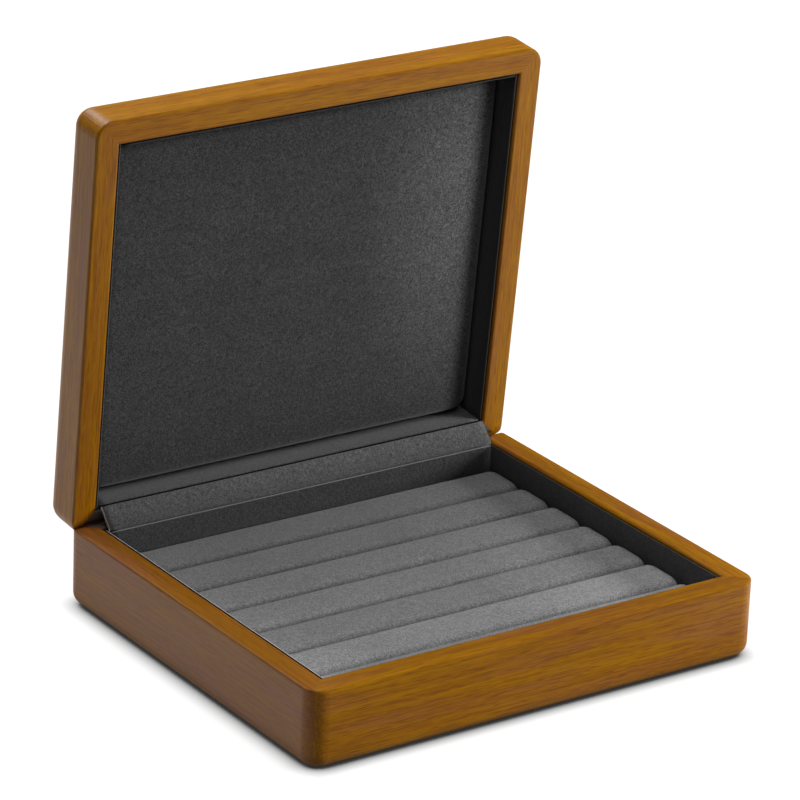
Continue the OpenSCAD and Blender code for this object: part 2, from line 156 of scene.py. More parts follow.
class ShaderSheet:
    """One material's nodes."""

    def __init__(self, name: str) -> None:
        """Starts an empty material.

        Args:
            name: The material's name.
        """
        self.material = bpy.data.materials.new(name)
        self.material.use_nodes = True
        self.tree = self.material.node_tree
        self.tree.nodes.clear()
        self.output = self.tree.nodes.new("ShaderNodeOutputMaterial")

    def add(self, kind: str, *values: object, **settings: object) -> bpy.types.Node:
        """Adds a node and feeds its inputs in order.

        Args:
            kind: Blender's name of the node, without ShaderNode in front.
            *values: A value for each of its first inputs, or None to leave one as it is.
            **settings: The node's own settings.

        Returns:
            The node.
        """
        node = self.tree.nodes.new(f"ShaderNode{kind}")
        for key, setting in settings.items():
            setattr(node, key, setting)
        for socket, value in zip(node.inputs, values):
            if value is not None:
                self.feed(socket, value)
        return node

    def feed(self, socket: Socket, value: object) -> None:
        """Links a socket to another, or sets it.

        Args:
            socket: The input.
            value: An output socket, or a plain value.
        """
        if isinstance(value, Socket):
            self.tree.links.new(value, socket)
        else:
            socket.default_value = value

    def place(self, turn: Sequence[float] = (0, 0, 0),
              shift: Sequence[float] = (0, 0, 0)) -> Socket:
        """The place on the object, turned into the piece's own directions.

        Args:
            turn: Turn about X, Y and Z in degrees.
            shift: Shift in metres, so that two pieces differ.

        Returns:
            A vector in metres.
        """
        place = self.add("TexCoord").outputs["Object"]
        angles = [math.radians(angle) for angle in turn]
        return self.add("Mapping", place, shift, angles).outputs["Vector"]

    def toned(self, colour: object, tone: object) -> Socket:
        """Multiplies a colour.

        Args:
            colour: The colour.
            tone: The factor, which may be above 1.

        Returns:
            The product.
        """
        return self.add("VectorMath", colour, None, None, tone, operation="SCALE").outputs[0]

    def axes(self, place: Socket) -> Sequence[Socket]:
        """Splits a place.

        Args:
            place: The place.

        Returns:
            Its X, Y and Z.
        """
        return self.add("SeparateXYZ", place).outputs

    def stretched(self, place: Socket, sizes: Sequence[float]) -> Socket:
        """Scales a place so that these sizes become one unit.

        Args:
            place: The place in metres.
            sizes: A size along each direction, in metres.

        Returns:
            The scaled place.
        """
        scales = [1.0 / size for size in sizes]
        return self.add("VectorMath", place, scales, operation="MULTIPLY").outputs[0]

    def noise(self, place: Socket, pattern: Pattern) -> Socket:
        """The noise of a pattern, from 0 to 1.

        Args:
            place: The place in metres.
            pattern: The pattern.

        Returns:
            The noise value.
        """
        node = self.add("TexNoise")
        inputs = {"Vector": self.stretched(place, pattern.size), "Scale": 1.0, "Detail": pattern.detail,
                  "Roughness": pattern.rough, "Distortion": pattern.twist}
        for name, value in inputs.items():
            self.feed(node.inputs[name], value)
        return node.outputs[0]

    def calc(self, operation: str, *values: object) -> Socket:
        """One step of arithmetic.

        Args:
            operation: Blender's name of the step.
            *values: Its inputs.

        Returns:
            The result.
        """
        return self.add("Math", *values, operation=operation).outputs[0]

    def fit(self, value: object, low: float, high: float,
            to_low: float, to_high: float) -> Socket:
        """Maps one range to another, clamped. The range may run down as well as up.

        Args:
            value: The input.
            low: Where the input's range starts.
            high: Where it ends.
            to_low: What its start becomes.
            to_high: What its end becomes.

        Returns:
            The mapped value.
        """
        return self.add("MapRange", value, low, high, to_low, to_high).outputs[0]

    def blend(self, share: object, first: object, second: object) -> Socket:
        """Blends two colours.

        Args:
            share: How much of the second colour.
            first: The first colour.
            second: The second colour.

        Returns:
            The blended colour.
        """
        node = self.add("Mix", data_type="RGBA")
        self.feed(node.inputs["Factor"], share)
        colours = [socket for socket in node.inputs if socket.type == "RGBA"]
        for socket, value in zip(colours, (first, second)):
            self.feed(socket, (*value, 1.0) if isinstance(value, tuple) else value)
        return next(socket for socket in node.outputs if socket.type == "RGBA")

    def ramp(self, value: object, stops: Sequence[tuple[float, Colour]]) -> Socket:
        """Turns a value into a colour.

        Args:
            value: From 0 to 1.
            stops: Places and colours, in order.

        Returns:
            The colour.
        """
        node = self.add("ValToRGB")
        while len(node.color_ramp.elements) < len(stops):
            node.color_ramp.elements.new(0.5)
        for element, (place, colour) in zip(node.color_ramp.elements, stops):
            element.position = place
            element.color = (*colour, 1.0)
        self.feed(node.inputs[0], value)
        return node.outputs[0]

    def bump(self, height: object, depth: float, strength: float = 1.0) -> Socket:
        """Relief too fine for the mesh.

        Args:
            height: The relief, from 0 to 1.
            depth: How deep a height of 1 is, in metres.
            strength: Share of the relief that is used.

        Returns:
            The normal.
        """
        node = self.add("Bump")
        self.feed(node.inputs["Height"], height)
        self.feed(node.inputs["Distance"], depth)
        self.feed(node.inputs["Strength"], strength)
        return node.outputs[0]

    def surface(self, **inputs: object) -> Material:
        """Finishes the material with one principled shader.

        Args:
            **inputs: The shader's inputs, with _ for each space in a name.

        Returns:
            The material.
        """
        shader = self.add("BsdfPrincipled")
        for key, value in inputs.items():
            self.feed(shader.inputs[key.replace("_", " ")], value)
        self.feed(self.output.inputs["Surface"], shader.outputs[0])
        return self.material


@dataclass(frozen=True)
class RimPlane:
    """A point of a back rail's rim by the hinge's axis, as the lid stands open, and two ways from it, from
    which the rail's painted shade is measured.
    """

    place: Point
    into_wood: Point
    into_box: Point


@dataclass(frozen=True)
class Fade:
    """A slow change of tone along one axis, used for painted light and shade: none up to its start, all of
    it from its stop on.
    """

    axis: int
    start: float
    stop: float
    tone: float


@dataclass(frozen=True)
class Glow:
    """A soft patch of painted light on the suede."""

    place: Point
    reach: Point
    strength: float


@dataclass(frozen=True)
class WoodFinish:
    """Oiled hardwood: golden patches, fine brown lines along the grain, and short dark pores."""

    name: str
    grain: Grain = Grain.ALONG_X
    on_lid: bool = False
    seed: float = 0.0
    tone: float = 1.0
    golden: Colour = linear(168, 113, 0)
    middle: Colour = linear(157, 102, 8)
    brown: Colour = linear(147, 91, 22)
    line: Colour = linear(116, 66, 14)
    mauve: Colour = linear(146, 88, 56)
    mauve_share: float = 0.6
    # Painted shade by the hinge: dark in the gap inside a back rail's rim, and grey on the rim where the
    # strip shades the notch.
    hinge_gap_shade: Colour = linear(24, 18, 17)
    notch_shade: Colour = linear(92, 84, 83)
    rim: RimPlane | None = None
    shade_depth: float = 9 * MM
    shade_end: float = 0.3 * MM
    rim_top: tuple[float, float] = (0.1 * MM, 0.6 * MM)
    corner_blur: float = 0.5 * MM
    heart_depth: float = 46 * MM
    heart_height: float = 70 * MM
    ring_width: float = 1.9 * MM
    ring_bend: float = 7 * MM
    late_wood: float = 2.2
    waves: Pattern = along_grain(90, 16)
    patches: Pattern = along_grain(110, 6, twist=0.15)
    clouds: Pattern = along_grain(70, 7, twist=0.3)
    streaks: Pattern = along_grain(26, 0.7, rough=0.6)
    threads: Pattern = along_grain(8, 0.5, rough=0.6)
    pores: Pattern = along_grain(7, 0.42, detail=1.0, rough=0.4)
    relief: float = 0.025 * MM

    def build(self) -> Material:
        """Makes the material."""
        sheet = ShaderSheet(self.name)
        turn = (BoxSizes.open_angle if self.on_lid else 0.0, 0.0, -self.grain.value)
        place = sheet.place(turn, (self.seed, 0.37 * self.seed, 0.61 * self.seed))
        threads, pores = sheet.noise(place, self.threads), sheet.noise(place, self.pores)
        colour = sheet.ramp(sheet.noise(place, self.patches),
                            [(0.34, self.brown), (0.48, self.middle), (0.62, self.golden)])
        layers = (
            (sheet.noise(place, self.clouds), 0.48, 0.7, self.mauve_share, self.mauve),
            (self.growth_lines(sheet, place), 0.5, 1.0, 0.22, self.line),
            (sheet.noise(place, self.streaks), 0.44, 0.64, 0.62, self.line),
            (threads, 0.48, 0.66, 0.55, self.golden),
            (pores, 0.56, 0.7, 0.55, self.line),
        )
        for pattern, start, full, share, over in layers:
            colour = sheet.blend(sheet.fit(pattern, start, full, 0.0, share), colour, over)
        holes = sheet.fit(pores, 0.58, 0.72, 0.0, 1.0)
        relief = sheet.calc("SUBTRACT", sheet.calc("MULTIPLY", threads, 0.5), holes)
        return sheet.surface(
            Base_Color=self.stain_and_shade(sheet, sheet.toned(colour, self.tone)),
            Roughness=sheet.fit(threads, 0.3, 0.7, 0.4, 0.5),
            IOR=1.45,
            Specular_IOR_Level=0.14,
            Normal=sheet.bump(relief, self.relief, 0.5),
        )

    def stain_and_shade(self, sheet: ShaderSheet, colour: Socket) -> Socket:
        """Paints shade on a back rail round the rim that the strip over the hinge hides and shades.

        Args:
            sheet: The material's nodes.
            colour: The colour of the wood.

        Returns:
            The wood with painted shade: dark inside the rim and grey on it.
        """
        if self.rim is None:
            return colour
        depth, inward = (self.along(sheet, way) for way in (self.rim.into_wood, self.rim.into_box))
        inside = sheet.fit(inward, -self.corner_blur, self.corner_blur, 0.0, 1.0)
        sunk = sheet.fit(depth, self.shade_depth, self.shade_depth + self.shade_end, 1.0, 0.0)
        top = sheet.fit(depth, *self.rim_top, 1.0, 0.0)
        colour = sheet.blend(sheet.calc("MULTIPLY", sunk, inside), colour, self.hinge_gap_shade)
        return sheet.blend(sheet.calc("MULTIPLY", top, inside), colour, self.notch_shade)

    def along(self, sheet: ShaderSheet, way: Point) -> Socket:
        """How far a place lies from the rim's line along one way.

        Args:
            sheet: The material's nodes.
            way: A unit vector.

        Returns:
            The distance in metres.
        """
        offset = sheet.add("VectorMath", sheet.place(), self.rim.place, operation="SUBTRACT").outputs[0]
        return sheet.add("VectorMath", offset, way, operation="DOT_PRODUCT").outputs["Value"]

    def growth_lines(self, sheet: ShaderSheet, place: Socket) -> Socket:
        """Growth rings about a heart that lies outside the board, bent by slow waves.

        Args:
            sheet: The material's nodes.
            place: The place in metres, with X along the grain.

        Returns:
            A value from 0 to 1, which peaks in the late wood.
        """
        _, across, up = sheet.axes(place)
        across = sheet.calc("ADD", across, self.heart_depth)
        up = sheet.calc("ADD", up, self.heart_height)
        radius = sheet.calc("SQRT", sheet.calc("ADD", sheet.calc("MULTIPLY", across, across),
                                               sheet.calc("MULTIPLY", up, up)))
        bend = sheet.calc("MULTIPLY", sheet.noise(place, self.waves), self.ring_bend)
        turns = sheet.calc("FRACT", sheet.calc("DIVIDE", sheet.calc("ADD", radius, bend), self.ring_width))
        return sheet.calc("POWER", turns, self.late_wood)


@dataclass(frozen=True)
class SuedeFinish:
    """Brushed suede, with a fine nap and soft brush marks, and painted light and shade where a finish asks
    for it.
    """

    name: str
    colour: Colour
    speckle: float = 0.34
    brushed: float = 0.08
    fuzz: float = 0.2
    # Painted shade in the hollows beside a roll's crown, darkest the hollow's depth below it, with an edge
    # frayed by the nap.
    crown_z: float | None = None
    hollow: float = 1.9 * MM
    hollow_shade: float = 0.7
    crown_edge: float = 0.5 * MM
    fray: float = 0.7 * MM
    fades: tuple[Fade, ...] = ()
    glow: Glow | None = None
    nap: Pattern = Pattern((0.68 * MM,) * 3, rough=0.75)
    tufts: Pattern = Pattern((1.7 * MM,) * 3, twist=0.4)
    brush: Pattern = Pattern((24 * MM, 15 * MM, 15 * MM), 3.0, 0.55, 0.8)
    tuft_share: float = 0.3
    nap_depth: float = 0.25 * MM

    def build(self) -> Material:
        """Makes the material."""
        sheet = ShaderSheet(self.name)
        place = sheet.place()
        nap = sheet.noise(place, self.nap)
        light = sheet.fit(nap, 0.28, 0.72, 1 - self.speckle, 1 + self.speckle)
        for pattern, swing in ((self.tufts, self.tuft_share * self.speckle), (self.brush, self.brushed)):
            change = sheet.fit(sheet.noise(place, pattern), 0.3, 0.7, 1 - swing, 1 + swing)
            light = sheet.calc("MULTIPLY", light, change)
        for change in self.slow_changes(sheet, place, nap):
            light = sheet.calc("MULTIPLY", light, change)
        return sheet.surface(
            Base_Color=sheet.toned(self.colour, light),
            Roughness=0.95,
            Specular_IOR_Level=0.1,
            Sheen_Weight=self.fuzz,
            Sheen_Roughness=0.55,
            Normal=sheet.bump(nap, self.nap_depth, 0.6),
        )

    def slow_changes(self, sheet: ShaderSheet, place: Socket, nap: Socket) -> list[Socket]:
        """The painted light and shade over a piece: its fades, painted shade in the hollows beside its
        crown, and its glow of painted light.

        Args:
            sheet: The material's nodes.
            place: The place in metres.
            nap: The noise of the nap, which frays the edge of the hollows.

        Returns:
            The factors of the tone.
        """
        axes = sheet.axes(place)
        changes = [sheet.fit(axes[fade.axis], fade.start, fade.stop, 1.0, fade.tone) for fade in self.fades]
        # Painted shade in the hollows beside the crown.
        if self.crown_z is not None:
            fray = sheet.calc("MULTIPLY", sheet.calc("ADD", nap, -0.5), self.fray)
            low, high = self.crown_z - self.hollow, self.crown_z - self.crown_edge
            changes.append(sheet.fit(sheet.calc("ADD", axes[2], fray), low, high, self.hollow_shade, 1.0))
        if self.glow is not None:
            way = sheet.add("VectorMath", place, self.glow.place, operation="SUBTRACT").outputs[0]
            way = sheet.stretched(way, self.glow.reach)
            span = sheet.add("VectorMath", way, operation="LENGTH").outputs["Value"]
            soft = sheet.add("MapRange", span, 0.0, 1.0, 1.0 + self.glow.strength, 1.0,
                             interpolation_type="SMOOTHSTEP")
            changes.append(soft.outputs[0])
        return changes


@dataclass(frozen=True)
class CardFinish:
    """Grey board; also the flat tones with fibres used as painted highlights on suede edges and as painted
    shade in the gap behind a strip.
    """

    name: str
    colour: Colour
    fibres: Pattern = Pattern((2.5 * MM, 0.3 * MM, 0.3 * MM), 3.0, 0.6)
    contrast: tuple[float, float] = (0.85, 1.12)
    relief: float = 0.05 * MM

    def build(self) -> Material:
        """Makes the material."""
        sheet = ShaderSheet(self.name)
        fibres = sheet.noise(sheet.place(), self.fibres)
        dark, pale = (tuple(min(1.0, channel * tone) for channel in self.colour) for tone in self.contrast)
        colour = sheet.blend(sheet.fit(fibres, 0.3, 0.7, 0.0, 1.0), dark, pale)
        return sheet.surface(Base_Color=colour, Roughness=0.9, Normal=sheet.bump(fibres, self.relief, 0.4))


@dataclass(frozen=True)
class MetalFinish:
    """Rolled or drawn metal with fine scratches along X."""

    name: str
    colour: Colour
    roughness: float = 0.32
    scratches: Pattern = Pattern((9 * MM, 0.12 * MM, 0.12 * MM))
    stains: Pattern = Pattern((5 * MM,) * 3, 3.0, 0.6)
    scratch_depth: float = 0.01 * MM

    def build(self) -> Material:
        """Makes the material."""
        sheet = ShaderSheet(self.name)
        place = sheet.place()
        scratches = sheet.noise(place, self.scratches)
        dull = tuple(channel * 0.6 for channel in self.colour)
        stain_and_shade = sheet.fit(sheet.noise(place, self.stains), 0.45, 0.75, 0.0, 0.35)
        return sheet.surface(
            Base_Color=sheet.blend(stain_and_shade, self.colour, dull),
            Metallic=1.0,
            Roughness=sheet.fit(scratches, 0.3, 0.7, self.roughness, self.roughness + 0.15),
            Normal=sheet.bump(scratches, self.scratch_depth, 0.4),
        )


# The dark suede is one fabric. The cover, pad, back, strip, wall and shaded suedes are copies of it toned
# darker or lighter as painted shade and light. Their fades and the pad's glow are painted too: the cover
# lighter to the right and darker down to its fold, the wall darker towards the back, and the pad lit at its
# upper right.
DARK_SUEDE = SuedeFinish("dark_suede", linear(74, 74, 75), speckle=0.7)
COVER_SUEDE = SuedeFinish("cover_suede", linear(78, 78, 79), speckle=0.7, fades=(
    Fade(0, -90 * MM, 97 * MM, 1.2), Fade(2, 42 * MM, 36 * MM, 0.76)))
PAD_SUEDE = SuedeFinish("pad_suede", linear(55, 55, 56), speckle=0.95, brushed=0.1, glow=Glow(
    (82 * MM, 80 * MM, 150 * MM), (62 * MM, 300 * MM, 120 * MM), 1.35))
BACK_SUEDE = SuedeFinish("back_suede", linear(50, 50, 51), speckle=0.8)
STRIP_SUEDE = SuedeFinish("strip_suede", linear(69, 69, 70), speckle=0.6)
WALL_SUEDE = SuedeFinish("wall_suede", linear(76, 76, 77), speckle=0.4, fades=(
    Fade(1, 10 * MM, 78 * MM, 0.55),))
SHADED_SUEDE = SuedeFinish("shaded_suede", linear(30, 30, 31), speckle=0.6)
# Suede edges in flat tones as painted highlights: bright, grey and dim by how light catches each edge; then
# the painted shade of the narrow gap behind a strip.
BRIGHT_LIT_EDGE = CardFinish("bright_lit_suede_edge", linear(228, 224, 230))
HALF_LIT_EDGE = CardFinish("half_lit_suede_edge", linear(112, 112, 116))
DIM_LIT_EDGE = CardFinish("dim_lit_suede_edge", linear(58, 57, 58))
LINER_GAP_SHADE = CardFinish("liner_gap_shade", linear(10, 8, 8))
GREY_BOARD = CardFinish("grey_board", linear(128, 120, 108))
FELT = SuedeFinish("felt", linear(44, 43, 43), speckle=0.3, brushed=0.1, fuzz=0.4)
BRASS = MetalFinish("burnished_brass", linear(66, 56, 44), 0.45)
STEEL = MetalFinish("steel", linear(190, 192, 196), 0.28)
# The rolls' suede; its fades are painted light, lighter towards both ends.
ROLL_SUEDE = SuedeFinish("roll_suede", linear(128, 128, 129), speckle=0.5, brushed=0.05, fades=(
    Fade(0, 21 * MM, 90 * MM, 1.55), Fade(0, -55 * MM, -97 * MM, 1.25)))
Finish = WoodFinish | SuedeFinish | CardFinish | MetalFinish


@cache
def material_of(finish: Finish) -> Material:
    """Makes each finish once.

    Args:
        finish: The finish.

    Returns:
        Its material.
    """
    return finish.build()


def ripple(x: float, y: float, seed: float, size: float) -> float:
    """Smooth unevenness, the same on every run.

    Args:
        x: Place along X in metres.
        y: Place along Y in metres.
        seed: Which unevenness.
        size: Width of a wave in metres.

    Returns:
        A value from about -1 to 1.
    """
    return noise.noise(Vector((x / size, y / size, seed)))


def make_piece(name: str, points: Sequence[Point], faces: Sequence[Sequence[int]],
               materials: Iterable[Material]) -> bpy.types.Object:
    """Makes a smooth mesh piece.

    Args:
        name: The piece's name.
        points: Corners in metres.
        faces: Corner numbers of each face.
        materials: Its materials.

    Returns:
        The object.
    """
    mesh = bpy.data.meshes.new(name)
    mesh.from_pydata(points, [], faces)
    mesh.validate()
    for material in materials:
        mesh.materials.append(material)
    mesh.shade_smooth()
    piece = bpy.data.objects.new(name, mesh)
    bpy.context.scene.collection.objects.link(piece)
    return piece


def skin(rings: Sequence[Sequence[Point]]) -> tuple[list[Point], list[list[int]]]:
    """Skins closed rings of points, with a cap at each end.

    Args:
        rings: Rings with as many points each, in order.

    Returns:
        The points and the faces.
    """
    count = len(rings[0])
    points = [point for ring in rings for point in ring]
    faces = []
    for row in range(len(rings) - 1):
        for k in range(count):
            a, b = row * count + k, row * count + (k + 1) % count
            faces.append([a, b, b + count, a + count])
    last = (len(rings) - 1) * count
    faces.append(list(range(count - 1, -1, -1)))
    faces.append([last + k for k in range(count)])
    return points, faces


def moved(points: Iterable[Point], turn: Matrix) -> list[Point]:
    """Turns points by a matrix.

    Args:
        points: The points.
        turn: The matrix.

    Returns:
        The turned points.
    """
    return [tuple(turn @ Vector(point)) for point in points]


def box_before(node: str, turn: Matrix) -> tuple[Vector, Vector]:
    """The box of a node as it lies before a turn.

    Args:
        node: The node's name.
        turn: The turn that takes it to its place at rest.

    Returns:
        The lowest and the highest corner.
    """
    back = turn.inverted()
    corners = [back @ vertex.co for vertex in bpy.data.objects[node].data.vertices]
    low, high = (Vector(end(corner[axis] for corner in corners) for axis in range(3)) for end in (min, max))
    return low, high


def dress_node(node: bpy.types.Object, finish: Finish) -> None:
    """Gives a node of the frame one finish.

    Args:
        node: The node's object.
        finish: The finish.
    """
    material = material_of(finish)
    slots = node.data.materials
    if not slots:
        slots.append(material)
    for index in range(len(slots)):
        slots[index] = material
    LOG.info("%s has %s", node.name, material.name)


def seat(piece: bpy.types.Object, body: Body, slot: str, *nodes: str) -> None:
    """Lets a piece ride on a body and stand for its nodes.

    Args:
        piece: The piece.
        body: The body that carries it.
        slot: Not used.
        *nodes: The nodes that it stands for.
    """
    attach(piece, body.value)
    if nodes:
        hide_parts(*nodes)
    LOG.info("%s rides on %s", piece.name, body.value)


@dataclass
class WoodenShell:
    """The eight mitred rails, the floor of the case and the top of the lid."""

    nodes: dict[str, bpy.types.Object]
    sizes: BoxSizes
    grain_of_side: dict[str, Grain] = field(default_factory=lambda: {
        "front": Grain.ALONG_X, "back": Grain.ALONG_X, "left": Grain.ALONG_Y, "right": Grain.ALONG_Y})
    # Boards toned for how light falls on them: the left rails darker and more mauve as painted shade and
    # painted reflection; the lid's front rail, its top when open, less mauve and the case's right rail
    # lighter as painted light.
    light_and_tone_by_board: dict[str, dict[str, float | Colour]] = field(default_factory=lambda: {
        "case_left_rail": {"tone": 0.92, "mauve_share": 0.9, "golden": linear(160, 103, 28)},
        "lid_left_rail": {"tone": 0.98, "mauve_share": 0.7},
        "case_right_rail": {"tone": 1.25},
        "lid_front_rail": {"mauve_share": 0.3},
    })
    seed_step: float = 0.713
    wide_board: float = 400 * MM

    def dress(self) -> None:
        """Gives each board its own cut of wood."""
        seed = 0.0
        for half in ("case", "lid"):
            for side, grain in self.grain_of_side.items():
                seed += self.seed_step
                name = f"{half}_{side}_rail"
                rim = self.back_rim(half) if side == "back" else None
                look = self.light_and_tone_by_board.get(name, {})
                wood = WoodFinish(f"wood_{name}", grain, half == "lid", seed, rim=rim, **look)
                dress_node(self.nodes[name], wood)
        for name, on_lid, seed in (("lid_top", True, 7.3), ("case_floor", False, 8.9)):
            wood = WoodFinish(f"wood_{name}", Grain.ALONG_X, on_lid, seed, heart_depth=self.wide_board)
            dress_node(self.nodes[name], wood)

    def back_rim(self, half: str) -> RimPlane:
        """The plane of a back rail's rim, as the lid stands open.

        Args:
            half: The case or the lid.

        Returns:
            The plane.
        """
        into = Vector((0.0, 0.0, 1.0 if half == "lid" else -1.0))
        turn = self.sizes.opened() if half == "lid" else Matrix.Identity(4)
        on_rim = Vector((0.0, self.sizes.hinge_y, self.sizes.hinge_z)) + self.sizes.half_gap * into
        ways = (tuple(turn.to_3x3() @ way) for way in (into, Vector((0.0, -1.0, 0.0))))
        return RimPlane(tuple(turn @ on_rim), *ways)


@dataclass
class RingRolls:
    """The padded rolls that grip the rings."""

    # Tone of each roll from back to front: painted shade near the lid, painted light towards the front.
    painted_light_tones: tuple[float, ...] = (0.53, 0.62, 0.78, 0.9, 0.93, 1.3, 1.44)
    end_round: float = 2.5 * MM
    end_drop: float = 0.7 * MM
    end_narrowing: float = 0.04
    end_softening: float = 0.05
    front_shoulder: tuple[float, float] = (0.42, 0.64)
    back_edge: tuple[float, float] = (0.24, 0.42)
    draw: float = 0.7 * MM
    slack: float = 0.12 * MM
    dent: float = 0.12 * MM
    dent_length: float = 26 * MM
    wobble: float = 0.16 * MM
    wobble_length: float = 7 * MM
    section_steps: int = 40
    end_steps: int = 9
    middle_steps: int = 60

    def build(self, count: int) -> None:
        """Makes the rolls in the boxes of their nodes.

        Args:
            count: How many rolls.
        """
        for number in range(1, count + 1):
            node = f"ring_roll_{number}"
            low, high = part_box(node)
            tone = self.painted_light_tones[(number - 1) * len(self.painted_light_tones) // count]
            # Each roll takes its painted tone, and painted shade in the hollows below its crown.
            suede = replace(ROLL_SUEDE, name=f"roll_suede_{number}", crown_z=high[2],
                            colour=tuple(tone * channel for channel in ROLL_SUEDE.colour))
            points, faces = skin(self.rings(Vector(low), Vector(high), float(number)))
            piece = make_piece(f"suede_roll_{number}", points, faces, [material_of(suede)])
            seat(piece, Body.CASE, "grey_suede", node)

    def rings(self, low: Vector, high: Vector, seed: float) -> list[list[Point]]:
        """Sections of one roll from left to right.

        Args:
            low: Lowest corner of the roll's box.
            high: Highest corner of the roll's box.
            seed: Which unevenness.

        Returns:
            The rings of points.
        """
        length, height = high.x - low.x, high.z - low.z
        half_width, middle_y = (high.y - low.y) / 2 - self.slack, (low.y + high.y) / 2
        quarter = [math.pi / 2 * k / self.end_steps for k in range(self.end_steps + 1)]
        near = [self.end_round * (1 - math.cos(angle)) for angle in quarter]
        span = length - 2 * self.end_round
        inner = [self.end_round + span * k / self.middle_steps for k in range(1, self.middle_steps)]
        rings = []
        for along in [*near, *inner, *(length - d for d in reversed(near))]:
            turned = max(0.0, 1 - min(along, length - along) / self.end_round)
            drop = self.end_drop * (1 - math.sqrt(max(0.0, 1 - turned ** 2)))
            x = low.x + along
            top = height - drop - self.dent * (1 + ripple(x, seed, 3.1, self.dent_length))
            ring = []
            for y, z in self.section(half_width * (1 - self.end_narrowing * turned ** 2), top, turned):
                upper = max(0.0, z / height - 0.5) * 2
                wobble = self.wobble * upper * ripple(x, seed + y * 40, 7.7, self.wobble_length)
                ring.append((x, middle_y + y + wobble, low.z + z))
            rings.append(ring)
        return rings

    def section(self, half_width: float, height: float, turned: float) -> list[tuple[float, float]]:
        """Outline of a roll: drawn-in foot, full sides, a crisp back edge and a soft front shoulder.

        Args:
            half_width: Half the width.
            height: Height of the crown.
            turned: 0 along the roll and 1 at its very end.

        Returns:
            Points across and up.
        """
        outline = [(self.draw - half_width, 0.0), (half_width - self.draw, 0.0)]
        for step in range(self.section_steps + 1):
            angle = math.pi * step / self.section_steps
            c, s = math.cos(angle), math.sin(angle)
            across_power, up_power = self.front_shoulder if c < 0 else self.back_edge
            softer = self.end_softening * turned
            upper = max(0.0, s) ** (up_power + softer)
            y = math.copysign(half_width * abs(c) ** (across_power + softer), c)
            outline.append((y, height * (0.5 + 0.5 * upper)))
        return outline


@dataclass
class LidPad:
    """The padded suede panel in the lid."""

    sizes: BoxSizes
    edge_round: float = 5.2 * MM
    corner: float = 7.0 * MM
    crown: float = 0.5 * MM
    dent: float = 0.14 * MM
    dent_length: float = 34 * MM
    least: float = 0.3 * MM
    steps_x: int = 110
    steps_y: int = 92

    def build(self) -> None:
        """Makes the pad in its node's box, as it is with the lid shut."""
        opened = self.sizes.opened()
        points, faces = self.cushion(*box_before("lid_pad", opened))
        suede = replace(PAD_SUEDE, fades=self.fades(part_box("lid_pad")[1][2]))
        piece = make_piece("suede_lid_pad", moved(points, opened), faces, [material_of(suede)])
        seat(piece, Body.LID, "dark_suede", "lid_pad")

    def fades(self, top: float) -> tuple[Fade, ...]:
        """The pad's painted shade: darker beside the right rail, below the top edge and down towards the
        hinge.

        Args:
            top: Height of its top edge.

        Returns:
            The fades.
        """
        return (Fade(0, 85 * MM, 96 * MM, 0.3), Fade(2, top - 7 * MM, top - 4 * MM, 0.55),
                Fade(2, 85 * MM, 48 * MM, 0.76))

    def cushion(self, low: Vector, high: Vector) -> tuple[list[Point], list[list[int]]]:
        """The pad's skin: a face that hangs from the board, and its flat back.

        Args:
            low: Lowest corner with the lid shut, on the face.
            high: Highest corner with the lid shut, on the board.

        Returns:
            The points and the faces.
        """
        half_x, half_y = (high.x - low.x) / 2, (high.y - low.y) / 2
        mid_y, depth = (high.y + low.y) / 2, high.z - low.z
        points = []
        for j in range(self.steps_y + 1):
            for i in range(self.steps_x + 1):
                x = half_x * math.sin(math.pi / 2 * (2 * i / self.steps_x - 1))
                y = half_y * math.sin(math.pi / 2 * (2 * j / self.steps_y - 1))
                x, y, inset = self.inside(x, y, half_x, half_y)
                rolled = max(0.0, 1 - inset / self.edge_round)
                fall = self.edge_round * (1 - math.sqrt(max(0.0, 1 - rolled ** 2)))
                share = max(0.0, 1 - (x / half_x) ** 4) * max(0.0, 1 - (y / half_y) ** 4)
                dents = self.dent * ripple(x, y, 1.7, self.dent_length) * min(1.0, inset / self.edge_round)
                thick = depth - self.crown - fall + self.crown * share + dents - self.dent
                points.append((x, mid_y + y, high.z - max(self.least, thick)))
        width = self.steps_x + 1
        starts = [j * width + i for j in range(self.steps_y) for i in range(self.steps_x)]
        faces = [[a, a + width, a + width + 1, a + 1] for a in starts]
        rim = list(range(width))
        rim += [j * width + self.steps_x for j in range(1, self.steps_y + 1)]
        rim += [self.steps_y * width + i for i in range(self.steps_x - 1, -1, -1)]
        rim += [j * width for j in range(self.steps_y - 1, 0, -1)]
        start = len(points)
        points += [(points[k][0], points[k][1], high.z) for k in rim]
        for k in range(len(rim)):
            after = (k + 1) % len(rim)
            faces.append([rim[k], rim[after], start + after, start + k])
        faces.append([start + k for k in range(len(rim))])
        return points, faces

    def inside(self, x: float, y: float, half_x: float, half_y: float) -> tuple[float, float, float]:
        """Pulls a point inside the pad's outline, whose corners are round.

        Args:
            x: Place across.
            y: Place along.
            half_x: Half the pad's width.
            half_y: Half the pad's length.

        Returns:
            The place and how far it lies inside the outline.
        """
        core_x, core_y = half_x - self.corner, half_y - self.corner
        over = Vector((max(0.0, abs(x) - core_x), max(0.0, abs(y) - core_y)))
        if over.length > self.corner:
            over *= self.corner / over.length
            x = math.copysign(core_x + over.x, x)
            y = math.copysign(core_y + over.y, y)
        if over.x and over.y:
            return x, y, self.corner - over.length
        return x, y, min(half_x - abs(x), half_y - abs(y))


